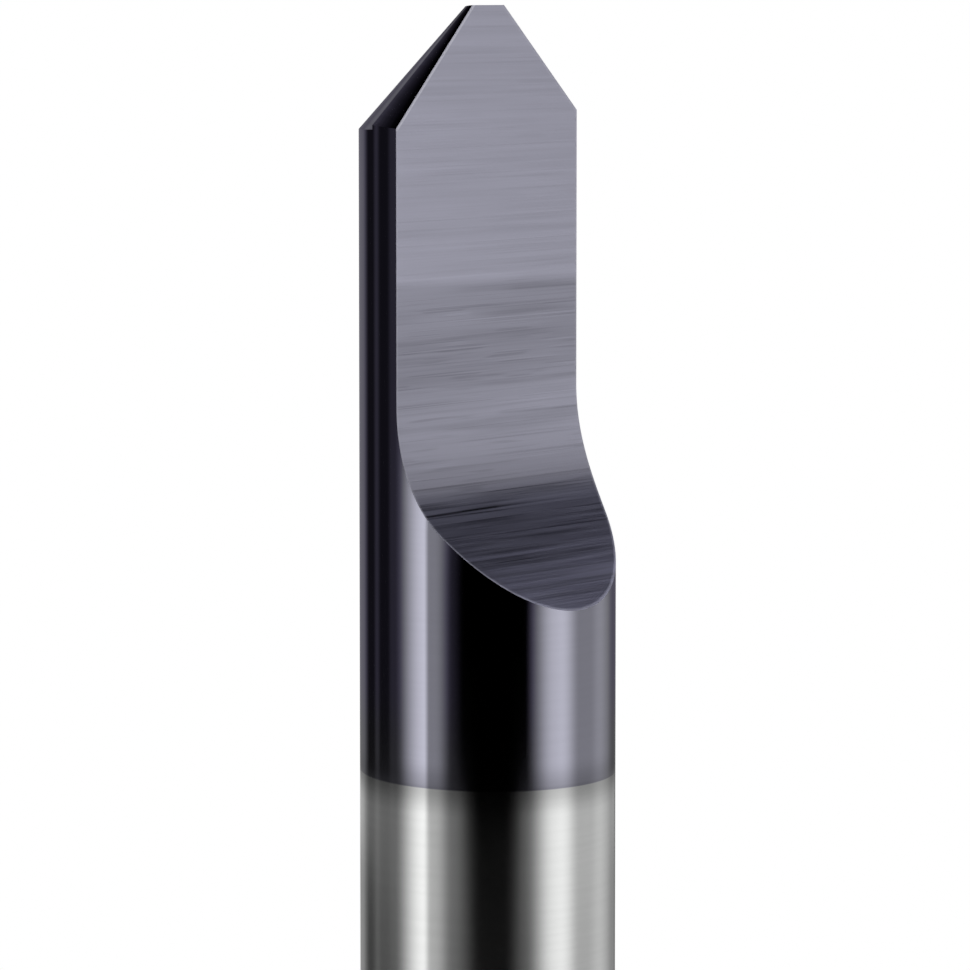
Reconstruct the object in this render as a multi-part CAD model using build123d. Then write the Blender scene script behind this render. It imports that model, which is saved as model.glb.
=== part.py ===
"""Half-round V groove router bit, ground from one rod of solid carbide.

Millimetres. The origin is the centre of the shank's end face and +Z runs along the axis to the
tip. The rake face looks towards -Y, the cutting edge is on its -X side and the heel on +X.
"""
import os
from math import acos, cos, radians, sin, tan

from build123d import *

# Rod
shank_diameter = 6.35
overall_length = 63.5
shank_end_chamfer = 0.4

# Rake face: the flat that turns the rod into a half round, and the run-out below it
flat_below_centre = 0.013
flat_length = 9.7
runout_radius = 4.4
runout_angle = 45.0

# V point, measured in the plane of the rake face
included_angle = 86.0
tip_width = 1.11

# Clearances behind the cutting edges
land_angle = 18.0
flank_tilt_angle = 2.9
end_relief_angle = 8.0
end_edge_fall_angle = 3.5

# Values that follow from the sizes above
shank_radius = shank_diameter / 2
half_angle = included_angle / 2
# Tools that cut the blank are this much larger than it is
overreach = shank_diameter


def turned_rod():
    """Full-round rod with the lead-in chamfer that goes into the collet."""
    rod = Cylinder(shank_radius, overall_length, align=(Align.CENTER, Align.CENTER, Align.MIN))
    end_face = rod.faces().sort_by(Axis.Z)[0]
    return chamfer(end_face.edges(), shank_end_chamfer)


def rake_grind():
    """What the wheel takes away: the straight flat, its corner radius and the ramp to the rod."""
    flat_end_z = overall_length - flat_length
    ramp_turn = radians(runout_angle)
    ramp_start_y = flat_below_centre - runout_radius * (1 - cos(ramp_turn))
    ramp_start_z = flat_end_z - runout_radius * sin(ramp_turn)
    outside_y = -shank_radius - overreach
    outside_z = ramp_start_z - (ramp_start_y - outside_y) / tan(ramp_turn)
    above_tip_z = overall_length + overreach

    flat_start = (flat_below_centre, above_tip_z)
    flat_end = (flat_below_centre, flat_end_z)
    ramp_start = (ramp_start_y, ramp_start_z)
    ramp_end = (outside_y, outside_z)
    flat_line = Line(flat_start, flat_end)
    corner = TangentArc(flat_end, ramp_start, tangent=(0, -1))
    ramp = Line(ramp_start, ramp_end)
    back = Polyline(ramp_end, (outside_y, above_tip_z), flat_start)
    section = Plane.YZ * make_face([flat_line, corner, ramp, back])
    return extrude(section, shank_diameter, both=True)


def relieved_cone(apex_z):
    """Cone of the V flanks. Its base leans towards the rake face, so that the flank falls away
    behind the cutting edge. Its own angle is a little wider than the V that it leaves there."""
    cone_half_angle = acos(cos(radians(half_angle)) * cos(radians(flank_tilt_angle)))
    height = (overall_length + overreach) * 2
    base_radius = height * tan(cone_half_angle)
    cone = Cone(base_radius, 0, height, align=(Align.CENTER, Align.CENTER, Align.MAX))
    return Pos(0, flat_below_centre, apex_z) * Rot(X=-flank_tilt_angle) * cone


def circular_land(apex_z):
    """Narrow land behind the cutting edge that keeps the plain cone of the V. The relief starts
    where it ends, land_angle round the axis."""
    height = (overall_length + overreach) * 2
    base_radius = height * tan(radians(half_angle))
    cone = Cone(base_radius, 0, height, align=(Align.CENTER, Align.CENTER, Align.MAX))
    cone = Pos(0, flat_below_centre, apex_z) * cone
    reach = shank_radius + overreach
    land_end = reach * tan(radians(land_angle))
    wedge = make_face(Polyline((0, 0), (-reach, 0), (-reach, land_end), close=True))
    wedge = Pos(0, flat_below_centre, 0) * wedge
    return cone & extrude(wedge, overall_length + overreach)


def end_grind(tip_corner_x):
    """What is ground off above the tip: the end face falls towards the heel and the back."""
    outward = Vector(tan(radians(end_edge_fall_angle)), tan(radians(end_relief_angle)), 1)
    end_face = Plane(origin=(tip_corner_x, flat_below_centre, overall_length), z_dir=outward)
    size = shank_diameter + overreach
    return end_face * Box(size, size, size, align=(Align.CENTER, Align.CENTER, Align.MIN))


def half_round_v_cutter():
    """The whole tool, in the order in which it is ground."""
    slope = tan(radians(half_angle))
    # Both end corners lie on the V, so the apex of the V stands this far above the higher one
    apex_height = tip_width * (1 / slope - tan(radians(end_edge_fall_angle))) / 2
    tip_corner_x = -apex_height * slope

    tool = turned_rod() - rake_grind()
    apex_z = overall_length + apex_height
    tool = tool & (relieved_cone(apex_z) + circular_land(apex_z))
    return tool - end_grind(tip_corner_x)


os.makedirs("parts", exist_ok=True)
cutter = half_round_v_cutter().solid()
export_step(cutter, "parts/half_round_v_cutter.step")
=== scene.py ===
"""Half-round V groove bit: the ground and coated carbide cutter, standing in a light tent."""
from math import acos, asin, cos, degrees, radians, sin, tan
from typing import NamedTuple

import bmesh
import bpy
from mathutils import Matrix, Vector


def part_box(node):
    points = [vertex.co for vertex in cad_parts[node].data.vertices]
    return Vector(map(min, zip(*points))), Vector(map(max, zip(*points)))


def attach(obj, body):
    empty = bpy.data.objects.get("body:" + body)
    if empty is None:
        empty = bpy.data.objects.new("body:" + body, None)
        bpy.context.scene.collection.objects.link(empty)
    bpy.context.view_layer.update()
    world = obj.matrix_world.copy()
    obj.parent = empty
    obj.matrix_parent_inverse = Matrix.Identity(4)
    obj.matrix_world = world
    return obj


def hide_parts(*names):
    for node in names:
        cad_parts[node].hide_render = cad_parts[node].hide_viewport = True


bl_info = {
    "name": "Half-round V bit",
    "version": (1, 0, 0),
    "blender": (4, 5, 0),
    "location": "View3D > Sidebar > V Bit",
    "description": "Builds a ground, half-coated carbide V bit and its studio",
    "category": "Object",
}

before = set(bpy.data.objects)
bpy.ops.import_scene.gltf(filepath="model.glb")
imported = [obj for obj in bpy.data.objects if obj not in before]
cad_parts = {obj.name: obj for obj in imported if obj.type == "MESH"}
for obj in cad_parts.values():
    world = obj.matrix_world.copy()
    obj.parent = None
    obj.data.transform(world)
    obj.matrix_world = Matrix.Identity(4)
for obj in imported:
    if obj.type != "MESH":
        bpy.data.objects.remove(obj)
NODE = "half_round_v_cutter"
BODY = "root"
FRAME_LOW, FRAME_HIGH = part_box(NODE)
MM = 0.001
# Angle by which the two parts of the flank overlap before they are joined
OVERLAP = radians(0.05)
# Numbers that mark which cut made a face of the bit
ROD_CUT, RAKE_CUT, FLANK_CUT = 0, 1, 2

# Places on the rake face, in millimetres from the tip: the painted highlight along the lip where
# the wheel was dressed, the start of the worn stretch behind it, and the start of the dull run-out
LIP_HIGHLIGHT = 6.70
WORN = (6.74, 6.96)
RUNOUT = (11.7, 12.4)
# Stretches over which the rake face's brightness changes by a factor
RAKE_TONES = ((7.3, 9.2, 0.88), (8.6, 10.6, 1.34), (11.7, 12.25, 0.64), (12.9, 13.9, 1.68))

# Distances from the axis in millimetres between which the floor runs out into white
FLOOR_FADE = (40.0, 105.0)
# Light on the studio's tent: the skylight at its top, what matt surfaces get from all of it, and
# the slightly violet tint of its dimmest parts
SKYLIGHT = 1.3
MATT_LIGHT = (0.92, 0.92, 0.92)
DIM_LIGHT = (0.98, 0.90, 1.24)
# Light of the world on matt surfaces
MATT_WORLD = 0.5


def shank_end_chamfer_of(node):
    """Height of the end chamfer, read from the lowest full-width ring of the carried-over node."""
    nearly_full = FRAME_HIGH.x * 0.999
    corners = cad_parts[node].data.vertices
    return min(v.co.z for v in corners if v.co.xy.length > nearly_full)


class BitSizes(bpy.types.PropertyGroup):
    shank_diameter: bpy.props.FloatProperty(
        name="Shank diameter", description="Diameter of the ground rod", unit="LENGTH",
        default=FRAME_HIGH.x - FRAME_LOW.x)
    overall_length: bpy.props.FloatProperty(
        name="Overall length", description="Shank end to the tip", unit="LENGTH",
        default=FRAME_HIGH.z - FRAME_LOW.z)
    shank_end_chamfer: bpy.props.FloatProperty(
        name="Shank chamfer", description="Lead-in chamfer at the shank end", unit="LENGTH",
        default=shank_end_chamfer_of(NODE))
    flat_below_centre: bpy.props.FloatProperty(
        name="Flat below centre", description="How far the rake face lies below the axis",
        unit="LENGTH", default=0.013 * MM)
    flat_length: bpy.props.FloatProperty(
        name="Flat length", description="Straight part of the rake face, from the tip",
        unit="LENGTH", default=9.7 * MM)
    runout_radius: bpy.props.FloatProperty(
        name="Run-out radius", description="Corner radius that the wheel leaves below the flat",
        unit="LENGTH", default=4.4 * MM)
    runout_angle: bpy.props.FloatProperty(
        name="Run-out angle", description="Angle at which the run-out leaves the rod",
        subtype="ANGLE", default=radians(45))
    included_angle: bpy.props.FloatProperty(
        name="Included angle", description="Angle of the V in the rake face",
        subtype="ANGLE", default=radians(86))
    tip_width: bpy.props.FloatProperty(
        name="Tip width", description="Width of the flat end of the V", unit="LENGTH",
        default=1.11 * MM)
    land_angle: bpy.props.FloatProperty(
        name="Land", description="Part of the flank behind the edge that is not relieved",
        subtype="ANGLE", default=radians(18))
    flank_tilt_angle: bpy.props.FloatProperty(
        name="Flank tilt", description="Lean of the flank cone, which gives the clearance",
        subtype="ANGLE", default=radians(2.9))
    end_relief_angle: bpy.props.FloatProperty(
        name="End relief", description="Fall of the end face behind its edge",
        subtype="ANGLE", default=radians(8))
    end_edge_fall_angle: bpy.props.FloatProperty(
        name="End edge fall", description="Fall of the end edge towards the heel",
        subtype="ANGLE", default=radians(3.5))
    coat_length: bpy.props.FloatProperty(
        name="Coated length", description="How far the coating reaches from the tip",
        unit="LENGTH", default=19.07 * MM)


class BitFinish(bpy.types.PropertyGroup):
    coat_colour: bpy.props.FloatVectorProperty(
        name="Coating", description="Reflected colour of the coated wall", subtype="COLOR",
        default=(0.37, 0.368, 0.438))
    rake_colour: bpy.props.FloatVectorProperty(
        name="Rake face", description="Reflected colour of the coated, ground flat",
        subtype="COLOR", default=(0.473, 0.470, 0.568))
    runout_colour: bpy.props.FloatVectorProperty(
        name="Run-out", description="Reflected colour of the coated ramp below the flat",
        subtype="COLOR", default=(0.48, 0.485, 0.65))
    # Colour of the painted highlight along the honed edges of the rake face
    honed_edge_highlight_colour: bpy.props.FloatVectorProperty(
        name="Honed edge", description="Reflected colour of the honed edge lines",
        subtype="COLOR", default=(0.8, 0.8, 0.88))
    shank_colour: bpy.props.FloatVectorProperty(
        name="Shank", description="Reflected colour of the bare carbide", subtype="COLOR",
        default=(0.60, 0.605, 0.60))
    coat_roughness: bpy.props.FloatProperty(
        name="Coating roughness", description="Roughness of the coated wall", default=0.055,
        min=0.0, max=1.0)
    shank_roughness: bpy.props.FloatProperty(
        name="Shank roughness", description="Roughness of the bare ground shank", default=0.14,
        min=0.0, max=1.0)


class StudioSettings(bpy.types.PropertyGroup):
    camera_azimuth: bpy.props.FloatProperty(
        name="Camera azimuth", description="Direction of the camera round the tool",
        subtype="ANGLE", default=radians(-45.6))
    camera_elevation: bpy.props.FloatProperty(
        name="Camera elevation", description="Height of the camera above the horizon",
        subtype="ANGLE", default=radians(8.4))
    camera_distance: bpy.props.FloatProperty(
        name="Camera distance", description="From the camera to the axis", unit="LENGTH",
        default=207.84 * MM)
    lens: bpy.props.FloatProperty(
        name="Lens", description="Focal length in millimetres", default=311.75)
    aim_below_tip: bpy.props.FloatProperty(
        name="Aim below tip", description="Where the middle of the picture lies on the axis",
        unit="LENGTH", default=11.936 * MM)
    aim_aside: bpy.props.FloatProperty(
        name="Aim aside", description="How far the axis stands right of the picture's middle",
        unit="LENGTH", default=0.0678 * MM)


class Tree:
    """Adds nodes to a node tree and links plain values or sockets to their inputs."""

    def __init__(self, tree):
        self.tree = tree

    def add(self, kind, inputs=None, output=0, **settings):
        node = self.tree.nodes.new(kind)
        for name, value in settings.items():
            setattr(node, name, value)
        for name, value in (inputs or {}).items():
            self.feed(node.inputs[name], value)
        return node.outputs[output]

    def feed(self, socket, value):
        if isinstance(value, bpy.types.NodeSocket):
            self.tree.links.new(value, socket)
        else:
            socket.default_value = value

    def math(self, operation, *values, clamp=False):
        node = self.tree.nodes.new("ShaderNodeMath")
        node.operation = operation
        node.use_clamp = clamp
        for socket, value in zip(node.inputs, values):
            self.feed(socket, value)
        return node.outputs[0]

    def plus(self, a, b):
        return self.math("ADD", a, b)

    def minus(self, a, b):
        return self.math("SUBTRACT", a, b)

    def times(self, a, b):
        return self.math("MULTIPLY", a, b)

    def vector(self, x, y, z):
        return self.add("ShaderNodeCombineXYZ", {"X": x, "Y": y, "Z": z})

    def seen_rays(self):
        """1 for rays of the eye and of shiny or clear surfaces, 0 for all others."""
        path = self.tree.nodes.new("ShaderNodeLightPath")
        seen = self.plus(path.outputs["Is Camera Ray"], path.outputs["Is Glossy Ray"])
        return self.math("ADD", seen, path.outputs["Is Transmission Ray"], clamp=True)


class Shader(Tree):
    """The same for a material, with the few patterns that the finishes use."""

    def __init__(self, name):
        self.material = bpy.data.materials.new(name)
        self.material.use_nodes = True
        super().__init__(self.material.node_tree)
        self.tree.nodes.clear()
        self.output = self.tree.nodes.new("ShaderNodeOutputMaterial")

    def place(self):
        """X, Y and Z of the shaded point, in millimetres."""
        point = self.add("ShaderNodeTexCoord", output="Object")
        scaled = self.tree.nodes.new("ShaderNodeVectorMath")
        scaled.operation = "SCALE"
        scaled.inputs["Scale"].default_value = 1 / MM
        self.feed(scaled.inputs[0], point)
        split = self.tree.nodes.new("ShaderNodeSeparateXYZ")
        self.feed(split.inputs[0], scaled.outputs[0])
        return split.outputs[:3]

    def from_axis(self, x, y):
        """Distance of the point from the Z axis."""
        return self.math("SQRT", self.plus(self.times(x, x), self.times(y, y)))

    def noise(self, x, y, z, detail=3.0):
        return self.add("ShaderNodeTexNoise", {
            "Vector": self.vector(x, y, z), "Scale": 1.0, "Detail": detail}, output="Fac")

    def step(self, value, low, high, to_low=0.0, to_high=1.0):
        """Smooth change from to_low to to_high as value goes from low to high."""
        return self.add("ShaderNodeMapRange", {
            "Value": value, "From Min": low, "From Max": high, "To Min": to_low,
            "To Max": to_high}, interpolation_type="SMOOTHSTEP")

    def crease(self, value, width):
        """Thin lines where value crosses its middle."""
        away = self.math("ABSOLUTE", self.minus(value, 0.5))
        return self.step(away, 0.0, width, 1.0, 0.0)

    def mix(self, factor, a, b):
        """Colour a where factor is 0, and b where it is 1."""
        node = self.tree.nodes.new("ShaderNodeMix")
        node.data_type = "RGBA"
        self.feed(node.inputs[0], factor)
        # The sockets for numbers and vectors come before those for colours
        first, second, mixed = node.inputs[6], node.inputs[7], node.outputs[2]
        for socket, colour in ((first, a), (second, b)):
            self.feed(socket, colour if isinstance(colour, bpy.types.NodeSocket) else (*colour, 1))
        return mixed

    def shade(self, colour, factor):
        """colour times a brightness factor."""
        node = self.tree.nodes.new("ShaderNodeVectorMath")
        node.operation = "SCALE"
        self.feed(node.inputs[0], colour)
        self.feed(node.inputs["Scale"], factor)
        return node.outputs[0]

    def bump(self, height, strength, distance):
        return self.add("ShaderNodeBump", {
            "Height": height, "Strength": strength, "Distance": distance})

    def finish(self, **inputs):
        surface = self.tree.nodes.new("ShaderNodeBsdfPrincipled")
        for name, value in inputs.items():
            self.feed(surface.inputs[name.replace("_", " ")], value)
        self.tree.links.new(surface.outputs[0], self.output.inputs["Surface"])
        return self.material


def apex_height(sizes):
    """Height of the V's apex above the higher corner of the tip."""
    slope = tan(sizes.included_angle / 2)
    return sizes.tip_width * (1 / slope - tan(sizes.end_edge_fall_angle)) / 2


def wall_finish(sizes, finish):
    """Round wall: glossy dark coating above the mask line, bright ground carbide below it."""
    s = Shader("ground_wall")
    x, y, z = s.place()
    line_z = (sizes.overall_length - sizes.coat_length) / MM
    # The mask line is out of square by just over half a degree
    lean = s.plus(s.times(x, 0.0070), s.times(y, -0.0071))
    above = s.plus(s.minus(z, line_z), lean)
    coated = s.step(above, -0.012, 0.022)
    marks = s.noise(s.times(x, 0.3), s.times(y, 0.3), s.times(z, 7.0))

    # Both finishes are darker close to the line
    near_line = s.step(above, -0.75, 0.0, 1.0, 0.66)
    grain = s.step(marks, 0.3, 0.7, 0.985, 1.015)
    bare = s.shade(finish.shank_colour[:], s.times(near_line, grain))
    fading = s.times(s.step(above, 0.0, 0.75, 0.65, 1.0), s.step(above, 0.02, 0.12, 0.88, 1.0))
    grain = s.step(marks, 0.3, 0.7, 0.99, 1.01)
    coat = s.shade(finish.coat_colour[:], s.times(fading, grain))

    # The bare carbide is also smoother there
    polished = finish.shank_roughness * 0.72
    bare_roughness = s.step(above, -1.6, 0.0, finish.shank_roughness, polished)
    roughness = s.step(coated, 0.0, 1.0, bare_roughness, finish.coat_roughness)
    return s.finish(Base_Color=s.mix(coated, bare, coat), Metallic=1.0, Roughness=roughness)


def streaks(s, x, along, across, density, layer, detail=1.0):
    """Noise drawn out along the wheel marks; each layer has its own pattern."""
    return s.noise(s.times(x, across), layer, s.times(along, density), detail=detail)


def scratch_lines(s, x, along):
    """Long coarse and fine scratches, which come and go in patches."""
    patches = streaks(s, x, along, 0.24, 3.4, layer=2.0)
    coarse = s.crease(streaks(s, x, along, 0.010, 1.7, layer=5.0), 0.03)
    fine = s.crease(streaks(s, x, along, 0.016, 4.6, layer=7.0), 0.06)
    return s.plus(s.times(coarse, s.step(patches, 0.3, 0.65, 0.2, 1.0)),
                  s.times(fine, s.step(patches, 0.4, 0.65, 0.1, 0.7)))


def hair_lines(s, x, along):
    """Short hair lines and the bright sides that go with them."""
    hair = streaks(s, x, along, 0.02, 6.5, layer=3.0)
    shown = s.step(streaks(s, x, along, 0.4, 5.0, layer=4.0), 0.50, 0.60)
    bright = s.crease(s.plus(hair, 0.06), 0.035)
    return s.times(s.crease(hair, 0.045), shown), s.times(bright, shown)


def rake_edges(s, sizes, x, y, from_tip):
    """Masks of the rake face's edges: a narrow one all round, and the painted highlight along the
    honed edges, brightest along the V's cutting side."""
    half = sizes.included_angle / 2
    half_width = s.times(s.plus(from_tip, apex_height(sizes) / MM), tan(half))
    inside_v = s.times(s.minus(half_width, s.math("ABSOLUTE", x)), cos(half))
    inside_rod = s.minus(sizes.shank_diameter / 2 / MM, s.from_axis(x, y))
    edge = s.step(s.math("MINIMUM", inside_rod, inside_v), 0.02, 0.07, 1.0, 0.0)
    cutting_side = s.step(x, -0.3, 0.3, 1.0, 0.1)
    # Painted highlight along the V's edges, strongest on the cutting side
    v_edge_highlight = s.times(s.step(inside_v, 0.05, 0.10, 0.65, 0.0), cutting_side)
    return edge, s.math("MAXIMUM", v_edge_highlight, s.times(edge, 0.35))


def rake_finish(sizes, finish):
    """Rake face and run-out: wheel marks right across, fanned a little, under the coating."""
    s = Shader("ground_rake")
    x, y, z = s.place()
    length = sizes.overall_length / MM
    from_tip = s.minus(length, z)
    # The marks slope a little, most of all at the tip; along stays the same on each of them
    slope = s.minus(0.055, s.times(from_tip, 0.0036))
    along = s.plus(z, s.times(slope, x))
    depth = s.minus(length, along)
    bands = streaks(s, x, along, 0.04, 2.2, layer=0.0, detail=3.0)
    grain = streaks(s, x, along, 0.22, 26.0, layer=9.0, detail=3.0)
    scratches = scratch_lines(s, x, along)
    dark_hair, bright_hair = hair_lines(s, x, along)

    # The wheel cuts duller behind the lip, which slopes a little more than the marks, and duller
    # again in the run-out. Further down the heel's side is the lighter one
    lip_depth = s.minus(depth, s.times(x, 0.016))
    worn = s.step(lip_depth, *WORN)
    late = s.step(depth, *RUNOUT)
    tone = s.minus(1.03, s.times(worn, 0.19))
    for start, end, factor in RAKE_TONES:
        tone = s.times(tone, s.step(depth, start, end, 1.0, factor))
    side_light = s.times(s.times(x, 0.022), s.step(depth, 7.8, 9.4))
    tone = s.plus(tone, side_light)

    # All marks are stronger where it cuts duller
    band_depth = s.step(late, 0, 1, 0.26, 0.75)
    grain_depth = s.step(worn, 0, 1, 0.14, 0.18)
    scratch_depth = s.plus(0.06, s.plus(s.times(worn, 0.05), s.times(late, 0.34)))
    hair_depth = s.step(worn, 0, 1, 0.03, 0.13)
    tone = s.plus(tone, s.times(s.minus(bands, 0.5), band_depth))
    tone = s.plus(tone, s.times(s.minus(grain, 0.5), grain_depth))
    tone = s.minus(tone, s.times(scratches, scratch_depth))
    # Painted highlight: a thin lighter line along the lip across the rake face
    lip = s.times(s.step(lip_depth, LIP_HIGHLIGHT - 0.1, LIP_HIGHLIGHT), s.step(lip_depth, LIP_HIGHLIGHT, LIP_HIGHLIGHT + 0.1, 1.0, 0.0))
    tone = s.plus(tone, s.times(lip, 0.06))
    tone = s.minus(tone, s.times(dark_hair, hair_depth))
    tone = s.plus(tone, s.times(bright_hair, s.times(hair_depth, 0.6)))

    edge, honed_edge_highlight = rake_edges(s, sizes, x, y, from_tip)
    flat, runout = s.shade(finish.rake_colour[:], tone), s.shade(finish.runout_colour[:], tone)
    # The honed edges take a lighter colour: a painted highlight
    colour = s.mix(honed_edge_highlight, s.mix(late, flat, runout), finish.honed_edge_highlight_colour[:])
    roughness = s.plus(s.step(grain, 0.3, 0.7, 0.33, 0.43), s.times(edge, 0.3))
    height = s.minus(s.times(grain, 0.5), s.times(scratches, 0.5))
    bump = s.bump(height, 0.3, 0.01 * MM)
    return s.finish(Base_Color=colour, Metallic=1.0, Roughness=roughness, Normal=bump)


def flank_finish(sizes, finish):
    """Flanks and end face: coated like the wall but darker, with painted shade towards the tip, and
    faint grinding marks round the cone."""
    s = Shader("ground_flank")
    x, y, z = s.place()
    marks = s.noise(s.times(x, 0.5), s.times(y, 0.5), s.times(z, 9.0), detail=2.0)
    # Painted shade: the flank's colour is darkened towards the tip
    tip = s.step(s.minus(sizes.overall_length / MM, z), 0.2, 1.0, 0.35, 1.0)
    shade = s.times(tip, s.step(marks, 0.25, 0.75, 0.72, 0.90))
    roughness = s.step(marks, 0.25, 0.75, 0.08, 0.11)
    return s.finish(Base_Color=s.shade(finish.coat_colour[:], shade), Metallic=1.0,
                    Roughness=roughness)


def new_interface(name, numbers, counts, materials):
    """Geometry tree with the named inputs; counts maps each whole number to its value."""
    tree = bpy.data.node_groups.new(name, "GeometryNodeTree")
    for label in numbers:
        tree.interface.new_socket(label, in_out="INPUT", socket_type="NodeSocketFloat")
    for label, value in counts.items():
        socket = tree.interface.new_socket(label, in_out="INPUT", socket_type="NodeSocketInt")
        socket.default_value = value
    for label in materials:
        tree.interface.new_socket(label, in_out="INPUT", socket_type="NodeSocketMaterial")
    tree.interface.new_socket("Geometry", in_out="OUTPUT", socket_type="NodeSocketGeometry")
    return tree


def shaped_bit_tree():
    """The bit as it is ground: rod, rake grind taken away, flank cone kept, end face cut."""
    numbers = ("Radius", "Length", "Chamfer", "Flat Depth", "Flat End", "Run-out Radius",
               "Run-out Angle", "Half Angle", "Land Angle", "Cone Angle", "Cone Tilt",
               "Apex Height", "End Corner", "End Slope X", "End Slope Y")
    counts = {"Facets": 360, "Rings": 60, "Arc Steps": 48}
    cut_of_material = {"Wall": ROD_CUT, "Rake": RAKE_CUT, "Flank": FLANK_CUT}
    tree = new_interface("ground_v_bit", numbers, counts, cut_of_material)
    t = Tree(tree)
    group = tree.nodes.new("NodeGroupInput")
    size = {socket.name: socket for socket in group.outputs}

    rod = rod_nodes(t, size)
    rake = rake_nodes(t, size)
    relieved = cone_nodes(t, size, size["Cone Angle"], t.times(size["Cone Tilt"], -1.0))
    inner_wedge = wedge_nodes(t, size, t.minus(size["Land Angle"], OVERLAP))
    relieved = boolean(t, "DIFFERENCE", relieved, inner_wedge)
    plain = cone_nodes(t, size, size["Half Angle"], 0.0)
    land = boolean(t, "INTERSECT", plain, wedge_nodes(t, size, size["Land Angle"]))
    flank = boolean(t, "UNION", relieved, land)
    end = end_nodes(t, size)
    body = boolean(t, "DIFFERENCE", rod, rake)
    body = boolean(t, "INTERSECT", body, flank)
    body = boolean(t, "DIFFERENCE", body, end)
    body = t.add("GeometryNodeRealizeInstances", {"Geometry": body})
    cut = t.add("GeometryNodeInputNamedAttribute", {"Name": "cut"}, data_type="INT")
    for name, wanted in cut_of_material.items():
        chosen = t.math("COMPARE", cut, wanted, 0.5)
        body = t.add("GeometryNodeSetMaterial", {
            "Geometry": body, "Selection": chosen, "Material": size[name]})
    output = tree.nodes.new("NodeGroupOutput")
    tree.links.new(body, output.inputs[0])
    return tree


def marked(t, solid, cut):
    """Writes on a solid's faces which cut they make."""
    return t.add("GeometryNodeStoreNamedAttribute", {
        "Geometry": solid, "Name": "cut", "Value": cut}, data_type="INT", domain="FACE")


def boolean(t, operation, first, second):
    """Joins two solids, keeps what they share, or takes the second away from the first."""
    node = t.tree.nodes.new("GeometryNodeMeshBoolean")
    node.operation = operation
    node.solver = "EXACT"
    t.tree.links.new(second, node.inputs["Mesh 2"])
    t.tree.links.new(first, node.inputs["Mesh 1" if operation == "DIFFERENCE" else "Mesh 2"])
    return node.outputs[0]


def position(t):
    """X, Y and Z of each point."""
    node = t.tree.nodes.new("ShaderNodeSeparateXYZ")
    t.feed(node.inputs[0], t.add("GeometryNodeInputPosition"))
    return node.outputs[:3]


def rod_nodes(t, size):
    """Rod with rings every millimetre or so; its two lowest rings make the chamfer."""
    rod = t.add("GeometryNodeMeshCylinder", {
        "Vertices": size["Facets"], "Side Segments": size["Rings"], "Radius": size["Radius"],
        "Depth": size["Length"]})
    rod = t.add("GeometryNodeTransform", {
        "Geometry": rod, "Translation": t.vector(0.0, 0.0, t.math("DIVIDE", size["Length"], 2.0))})
    x, y, z = position(t)
    near = 0.001 * MM
    ring_gap = t.math("DIVIDE", size["Length"], size["Rings"])
    second = t.math("COMPARE", z, ring_gap, near)
    lowest = t.math("LESS_THAN", z, near)
    narrowed = t.minus(1.0, t.math("DIVIDE", size["Chamfer"], size["Radius"]))
    scale = t.plus(t.times(lowest, narrowed), t.minus(1.0, lowest))
    lift = t.times(second, t.minus(size["Chamfer"], ring_gap))
    moved = t.vector(t.times(x, scale), t.times(y, scale), t.plus(z, lift))
    rod = t.add("GeometryNodeSetPosition", {"Geometry": rod, "Position": moved})
    return marked(t, rod, ROD_CUT)


def rake_nodes(t, size):
    """Solid that the wheel takes away. A grid is bent to the flat, the corner and the ramp, and
    drawn out away from the rod."""
    reach = t.times(size["Radius"], 3.0)
    # Rows of points: one past the tip, those of the arc, and one at the ramp's far end
    rows = t.plus(size["Arc Steps"], 3.0)
    grid = t.add("GeometryNodeMeshGrid", {
        "Size X": reach, "Size Y": 1.0, "Vertices X": 2, "Vertices Y": rows})
    x, y, _ = position(t)
    row = t.math("ROUND", t.times(t.minus(0.5, y), t.minus(rows, 1.0)))
    share = t.math("DIVIDE", t.minus(row, 1.0), size["Arc Steps"], clamp=True)
    turned = t.times(share, size["Run-out Angle"])
    sine, cosine = t.math("SINE", turned), t.math("COSINE", turned)

    first = t.math("LESS_THAN", row, 0.5)
    rise = t.times(first, t.plus(reach, size["Length"]))
    last = t.math("GREATER_THAN", row, t.plus(size["Arc Steps"], 1.5))
    ramp = t.times(last, reach)
    drop = t.times(size["Run-out Radius"], t.minus(1.0, cosine))
    surface_y = t.minus(t.minus(size["Flat Depth"], drop), t.times(ramp, sine))
    surface_z = t.minus(size["Flat End"], t.times(size["Run-out Radius"], sine))
    surface_z = t.plus(t.minus(surface_z, t.times(ramp, cosine)), rise)
    surface = t.add("GeometryNodeSetPosition", {
        "Geometry": grid, "Position": t.vector(x, surface_y, surface_z)})

    back = t.vector(0.0, t.times(reach, -1.0), 0.0)
    drawn = t.add("GeometryNodeExtrudeMesh", {
        "Mesh": surface, "Offset": back, "Individual": False}, mode="FACES")
    closed = t.add("GeometryNodeFlipFaces", {"Mesh": surface})
    join = t.tree.nodes.new("GeometryNodeJoinGeometry")
    t.tree.links.new(drawn, join.inputs[0])
    t.tree.links.new(closed, join.inputs[0])
    solid = t.add("GeometryNodeMergeByDistance", {
        "Geometry": join.outputs[0], "Distance": 0.0001 * MM})
    return marked(t, solid, RAKE_CUT)


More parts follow.
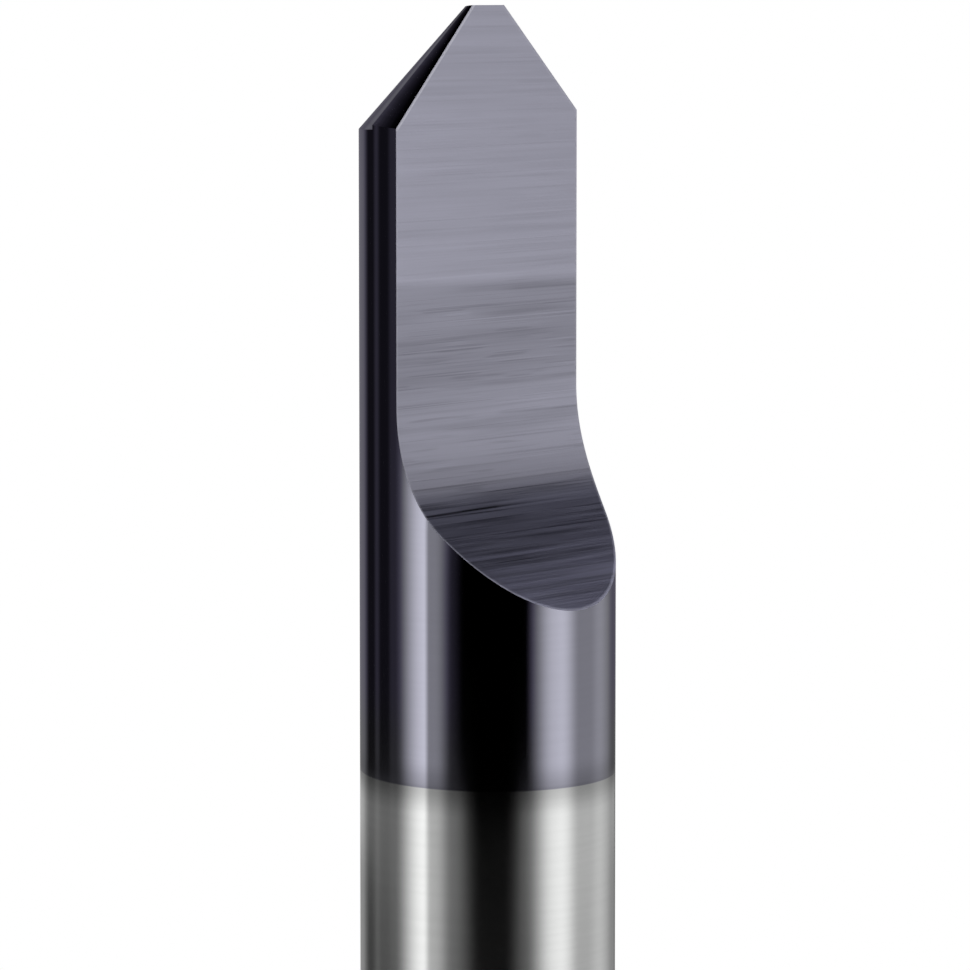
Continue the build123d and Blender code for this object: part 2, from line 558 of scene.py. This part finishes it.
def cone_nodes(t, size, half_angle, lean):
    """Large cone, turned about X by lean, with its apex above the tip in the rake face's plane."""
    depth = t.times(size["Length"], 2.0)
    width = t.times(depth, t.math("TANGENT", half_angle))
    cone = t.tree.nodes.new("GeometryNodeMeshCone")
    for name, value in {"Vertices": size["Facets"], "Side Segments": 1, "Radius Top": 0.0,
                        "Radius Bottom": width, "Depth": depth}.items():
        t.feed(cone.inputs[name], value)
    lowered = t.vector(0.0, 0.0, t.times(depth, -1.0))
    cone = t.add("GeometryNodeTransform", {"Geometry": cone.outputs[0], "Translation": lowered})
    turned = t.add("FunctionNodeEulerToRotation", {"Euler": t.vector(lean, 0.0, 0.0)})
    apex = t.vector(0.0, size["Flat Depth"], t.plus(size["Length"], size["Apex Height"]))
    cone = t.add("GeometryNodeTransform", {
        "Geometry": cone, "Translation": apex, "Rotation": turned})
    return marked(t, cone, FLANK_CUT)


def wedge_nodes(t, size, land_angle):
    """Wedge from just before the rake face to land_angle behind it, on the cutting edge's side. A
    box is squeezed to the axis: its far corner rises by that angle."""
    reach = t.times(size["Radius"], 2.0)
    # Angle before the rake face, and the share of reach at which the box keeps its inner side
    ahead, blunt = 0.02, 0.001
    block = t.add("GeometryNodeMeshCube", {"Size": (1.0, 1.0, 1.0)})
    x, y, z = position(t)
    away = t.times(t.plus(t.minus(0.5, x), blunt), reach)
    turn = t.times(land_angle, t.math("GREATER_THAN", y, 0.0))
    turn = t.minus(turn, t.times(ahead, t.math("LESS_THAN", y, 0.0)))
    rise = t.plus(size["Flat Depth"], t.times(away, t.math("TANGENT", turn)))
    height = t.times(t.plus(z, 0.5), t.times(size["Length"], 1.5))
    moved = t.vector(t.times(away, -1.0), rise, height)
    wedge = t.add("GeometryNodeSetPosition", {"Geometry": block, "Position": moved})
    return marked(t, wedge, FLANK_CUT)


def end_nodes(t, size):
    """Block above the end face, which falls towards the heel and the back."""
    side = t.times(size["Radius"], 4.0)
    block = t.add("GeometryNodeMeshCube", {"Size": t.vector(side, side, side)})
    block = t.add("GeometryNodeTransform", {
        "Geometry": block, "Translation": t.vector(0.0, 0.0, t.math("DIVIDE", side, 2.0))})
    normal = t.vector(size["End Slope X"], size["End Slope Y"], 1.0)
    turned = t.add("FunctionNodeAlignRotationToVector", {"Vector": normal}, axis="Z")
    corner = t.vector(size["End Corner"], size["Flat Depth"], size["Length"])
    block = t.add("GeometryNodeTransform", {
        "Geometry": block, "Translation": corner, "Rotation": turned})
    return marked(t, block, FLANK_CUT)


def set_inputs(modifier, values):
    """Sets a geometry modifier's inputs by the identifiers of its named sockets."""
    for item in modifier.node_group.interface.items_tree:
        if item.item_type == "SOCKET" and item.in_out == "INPUT" and item.name in values:
            modifier[item.identifier] = values[item.name]


def settled(name, tree, values):
    """Runs a geometry tree and keeps its result as a plain mesh object."""
    start = bpy.data.objects.new(name, bpy.data.meshes.new(name))
    bpy.context.scene.collection.objects.link(start)
    modifier = start.modifiers.new("shape", "NODES")
    modifier.node_group = tree
    set_inputs(modifier, values)
    graph = bpy.context.evaluated_depsgraph_get()
    mesh = bpy.data.meshes.new_from_object(start.evaluated_get(graph))
    start.modifiers.remove(modifier)
    start.data = mesh
    mesh.name = name
    return start


def bit_values(sizes):
    """Numbers that the bit's tree needs, worked out from the sizes."""
    half = sizes.included_angle / 2
    apex = apex_height(sizes)
    return {
        "Radius": sizes.shank_diameter / 2, "Length": sizes.overall_length,
        "Chamfer": sizes.shank_end_chamfer, "Flat Depth": sizes.flat_below_centre,
        "Flat End": sizes.overall_length - sizes.flat_length,
        "Run-out Radius": sizes.runout_radius, "Run-out Angle": sizes.runout_angle,
        "Half Angle": half, "Land Angle": sizes.land_angle,
        "Cone Angle": acos(cos(half) * cos(sizes.flank_tilt_angle)),
        "Cone Tilt": sizes.flank_tilt_angle, "Apex Height": apex,
        "End Corner": -apex * tan(half),
        "End Slope X": tan(sizes.end_edge_fall_angle), "End Slope Y": tan(sizes.end_relief_angle)}


class MakeBit(bpy.types.Operator):
    """Build the ground and coated bit in place of its plain solid"""
    bl_idname = "vbit.make_bit"
    bl_label = "Bit"

    def execute(self, context):
        sizes, finish = context.scene.bit_sizes, context.scene.bit_finish
        values = bit_values(sizes)
        values["Wall"] = wall_finish(sizes, finish)
        values["Rake"] = rake_finish(sizes, finish)
        values["Flank"] = flank_finish(sizes, finish)
        bit = settled("half_round_v_bit", shaped_bit_tree(), values)
        mesh = bit.data
        mesh.shade_smooth()
        mesh.set_sharp_from_angle(angle=radians(12))
        if not mesh.polygons:
            raise RuntimeError("the bit has no faces")
        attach(bit, BODY)
        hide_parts(NODE)
        return {"FINISHED"}


def glow_shader(name):
    """Light of the mesh's glow attribute in reflections, and even white light on matt surfaces."""
    s = Shader(name)
    light = s.tree.nodes.new("ShaderNodeEmission")
    glow = s.add("ShaderNodeAttribute", attribute_name="glow", output="Color")
    matt = s.add("ShaderNodeLightPath", output="Is Diffuse Ray")
    s.feed(light.inputs["Color"], s.mix(matt, glow, MATT_LIGHT))
    s.tree.links.new(light.outputs[0], s.output.inputs["Surface"])
    s.material.cycles.emission_sampling = "NONE"
    return s.material


def ease(value, low, high):
    """Smooth change from 0 to 1 as value goes from low to high."""
    share = min(1.0, max(0.0, (value - low) / (high - low)))
    return share * share * (3 - 2 * share)


class Softbox(NamedTuple):
    """Patch of light on the tent. Angles are in degrees, to the right of the camera and up from the
    horizon; each side fades over its own width."""
    strength: float
    left: float
    right: float
    top: float
    bottom: float = -90
    fade_left: float = 5
    fade_right: float = 5
    fade_top: float = 6
    fade_bottom: float = 8

    def glow(self, facing, height):
        """Its light in one direction."""
        turn = (facing - self.left + 180) % 360 - 180
        rise = ease(turn, -self.fade_left / 2, self.fade_left / 2)
        turn = (facing - self.right + 180) % 360 - 180
        fall = 1 - ease(turn, -self.fade_right / 2, self.fade_right / 2)
        upper = 1 - ease(height, self.top - self.fade_top / 2, self.top + self.fade_top / 2)
        bottom, fade = self.bottom, self.fade_bottom / 2
        lower = ease(height, bottom - fade, bottom + fade)
        return self.strength * min(rise, fall) * upper * lower


def softboxes():
    """Two tall boxes, one each side of the camera, with dimmer ones beside and behind them, and low
    light that only the shank mirrors."""
    tall = 34
    boxes = [
        Softbox(1.40, -73.5, -56, tall, fade_left=35),
        Softbox(0.47, -56, -40.5, tall, fade_right=17),
        Softbox(0.045, -45, -29, tall, fade_left=8, fade_right=16),
        Softbox(0.012, -140, -85, 46, fade_left=10, fade_right=12),
        Softbox(0.045, -121, -114, 30, fade_left=6, fade_right=6),
        Softbox(0.034, -98, -86, 30, fade_left=6, fade_right=6),
        Softbox(0.145, -190, -141, 24, fade_left=14, fade_right=16, fade_top=26),
        Softbox(0.05, -190, -141, 3, fade_left=14, fade_right=16, fade_top=4),
        Softbox(0.17, -165, -134, 36, 20, fade_left=16, fade_right=30, fade_top=26),
        Softbox(0.82, 47, 79, tall, fade_left=27, fade_right=23),
        Softbox(0.46, 59, 142, tall, fade_left=40, fade_right=30),
        Softbox(0.12, 148, 170, 30, fade_left=16, fade_right=14),
        Softbox(0.12, 111, 126.5, tall, fade_left=14, fade_right=12),
        Softbox(0.03, 60, 170, 62, 36, fade_left=20, fade_right=20),
    ]
    # The coating line mirrors the tent at these heights, in front and at the sides. The low light
    # starts there with a sharp end, and its highest degree is brighter
    front, side = -10.85, -10.72
    sharp = 0.25
    for strength, left, right, top, fade_left, fade_right in (
            (0.135, -190, -148, side, 10, 10), (0.055, -148, -124, side, 10, 14),
            (0.105, -124, -87, side, 14, 10), (0.155, -87, -18, front, 10, 22),
            (0.004, -18, 26, front, 22, 20), (0.135, 26, 104, front, 20, 10),
            (0.185, 104, 163, side, 10, 10)):
        boxes.append(Softbox(strength, left, right, top, fade_left=fade_left,
                             fade_right=fade_right, fade_top=sharp))
    for strength, left, right, top, fade_left, fade_right in (
            (0.20, -190, -87, side, 10, 14), (0.28, -87, -22, front, 10, 14),
            (0.28, 30, 104, front, 14, 10), (0.12, 104, 163, side, 10, 10)):
        boxes.append(Softbox(strength, left, right, top, -12, fade_left, fade_right,
                             fade_top=sharp, fade_bottom=1))
    return boxes


def tent_rows(reach, centre):
    """Heights of the tent's rows in degrees, from the floor up. They lie closest where the low
    light starts."""
    lowest = -degrees(asin(centre / reach))
    close = [quarter / 4 for quarter in range(-56, -20)]
    return [lowest, -16, *close, *range(-5, 91, 2), 90]


def tent_glow(boxes, facing, height):
    """Colour of the tent's light in one direction: that of the boxes, the skylight from 60 degrees
    up, and a tint where it is dim, above the low light."""
    glow = sum(box.glow(facing, height) for box in boxes)
    glow += SKYLIGHT * ease(height, 60, 68)
    dim = (1 - ease(glow, 0, 0.35)) * ease(height, -10, -8.5)
    return [glow * (1 + dim * (part - 1)) for part in DIM_LIGHT]


def light_tent(context):
    """Dark tent round the tool with the soft boxes glowing on it and a white skylight on top. The
    camera looks through it."""
    reach, centre = 110 * MM, 45 * MM
    columns = 180
    azimuth = context.scene.studio.camera_azimuth
    boxes = softboxes()
    rows = tent_rows(reach, centre)
    points, glows, faces = [], [], []
    for height in rows:
        ring = reach * cos(radians(height))
        z = centre + reach * sin(radians(height))
        for i in range(columns):
            facing = 360 * i / columns - 180
            angle = azimuth + radians(facing)
            points.append((ring * sin(angle), -ring * cos(angle), z))
            glows.extend((*tent_glow(boxes, facing, height), 1))
    for j in range(len(rows) - 1):
        for i in range(columns):
            a, b = j * columns + i, j * columns + (i + 1) % columns
            faces.append((a, a + columns, b + columns, b))
    mesh = bpy.data.meshes.new("light_tent")
    mesh.from_pydata(points, [], faces)
    glow = mesh.attributes.new("glow", "FLOAT_COLOR", "POINT")
    glow.data.foreach_set("color", glows)
    mesh.materials.append(glow_shader("tent_glow"))
    tent = bpy.data.objects.new("light_tent", mesh)
    context.scene.collection.objects.link(tent)
    tent.visible_camera = False


def pale_floor(context):
    """Pale floor that keeps the tool's shadow and runs out into the white background."""
    mesh = bpy.data.meshes.new("floor")
    work = bmesh.new()
    bmesh.ops.create_circle(work, cap_ends=True, segments=128, radius=600 * MM)
    work.to_mesh(mesh)
    work.free()
    s = Shader("pale_floor")
    x, y, _ = s.place()
    speck = s.noise(x, y, 0.0, detail=2.0)
    surface = s.tree.nodes.new("ShaderNodeBsdfDiffuse")
    s.feed(surface.inputs["Color"], s.mix(speck, (0.88, 0.88, 0.88), (0.92, 0.92, 0.92)))
    white = s.tree.nodes.new("ShaderNodeEmission")
    mix = s.tree.nodes.new("ShaderNodeMixShader")
    fade = s.step(s.from_axis(x, y), *FLOOR_FADE)
    s.feed(mix.inputs[0], s.times(s.seen_rays(), fade))
    s.tree.links.new(surface.outputs[0], mix.inputs[1])
    s.tree.links.new(white.outputs[0], mix.inputs[2])
    s.tree.links.new(mix.outputs[0], s.output.inputs["Surface"])
    mesh.materials.append(s.material)
    floor = bpy.data.objects.new("floor", mesh)
    context.scene.collection.objects.link(floor)


def studio_world(context):
    """White for the eye and for shiny surfaces, dim for the rest."""
    world = bpy.data.worlds.new("studio")
    context.scene.world = world
    world.use_nodes = True
    t = Tree(world.node_tree)
    t.tree.nodes.clear()
    light = t.tree.nodes.new("ShaderNodeBackground")
    light.inputs["Color"].default_value = (1, 1, 1, 1)
    strength = t.plus(MATT_WORLD, t.times(t.seen_rays(), 1 - MATT_WORLD))
    t.feed(light.inputs["Strength"], strength)
    output = t.tree.nodes.new("ShaderNodeOutputWorld")
    t.tree.links.new(light.outputs[0], output.inputs["Surface"])


def studio_camera(context):
    """Long lens that looks down on the tool a little. The middle of its picture lies beside the
    axis by aim_aside."""
    studio, sizes = context.scene.studio, context.scene.bit_sizes
    azimuth, elevation = studio.camera_azimuth, studio.camera_elevation
    level = Vector((sin(azimuth), -cos(azimuth), 0))
    back = level * cos(elevation) + Vector((0, 0, sin(elevation)))
    right = Vector((cos(azimuth), sin(azimuth), 0))
    aim = Vector((0, 0, sizes.overall_length - studio.aim_below_tip)) - right * studio.aim_aside
    data = bpy.data.cameras.new("camera")
    data.lens = studio.lens
    data.clip_start = 10 * MM
    data.clip_end = 10000 * MM
    camera = bpy.data.objects.new("camera", data)
    camera.rotation_mode = "QUATERNION"
    camera.rotation_quaternion = (-back).to_track_quat("-Z", "Y")
    camera.location = aim + back * studio.camera_distance
    context.scene.collection.objects.link(camera)
    context.scene.camera = camera


class MakeStudio(bpy.types.Operator):
    """Set out the pale floor, the white background, the light tent and the camera"""
    bl_idname = "vbit.make_studio"
    bl_label = "Studio"

    def execute(self, context):
        pale_floor(context)
        studio_world(context)
        light_tent(context)
        studio_camera(context)
        context.scene.view_settings.view_transform = "Standard"
        return {"FINISHED"}


class BitPanel(bpy.types.Panel):
    """Sizes, finishes and build steps of the V bit"""
    bl_idname = "VIEW3D_PT_v_bit"
    bl_label = "V Bit"
    bl_space_type = "VIEW_3D"
    bl_region_type = "UI"
    bl_category = "V Bit"

    def draw(self, context):
        scene = context.scene
        for group in (scene.bit_sizes, scene.bit_finish, scene.studio):
            box = self.layout.box()
            for name in group.bl_rna.properties.keys():
                if name not in ("rna_type", "name"):
                    box.prop(group, name)
        for operator in (MakeBit, MakeStudio):
            self.layout.operator(operator.bl_idname)


CLASSES = (BitSizes, BitFinish, StudioSettings, MakeBit, MakeStudio, BitPanel)


def register():
    for cls in CLASSES:
        bpy.utils.register_class(cls)
    bpy.types.Scene.bit_sizes = bpy.props.PointerProperty(type=BitSizes)
    bpy.types.Scene.bit_finish = bpy.props.PointerProperty(type=BitFinish)
    bpy.types.Scene.studio = bpy.props.PointerProperty(type=StudioSettings)


def unregister():
    del bpy.types.Scene.studio
    del bpy.types.Scene.bit_finish
    del bpy.types.Scene.bit_sizes
    for cls in reversed(CLASSES):
        bpy.utils.unregister_class(cls)


def main():
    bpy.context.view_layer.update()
    register()
    bpy.ops.vbit.make_bit()
    bpy.ops.vbit.make_studio()


if __name__ == "__main__":
    main()
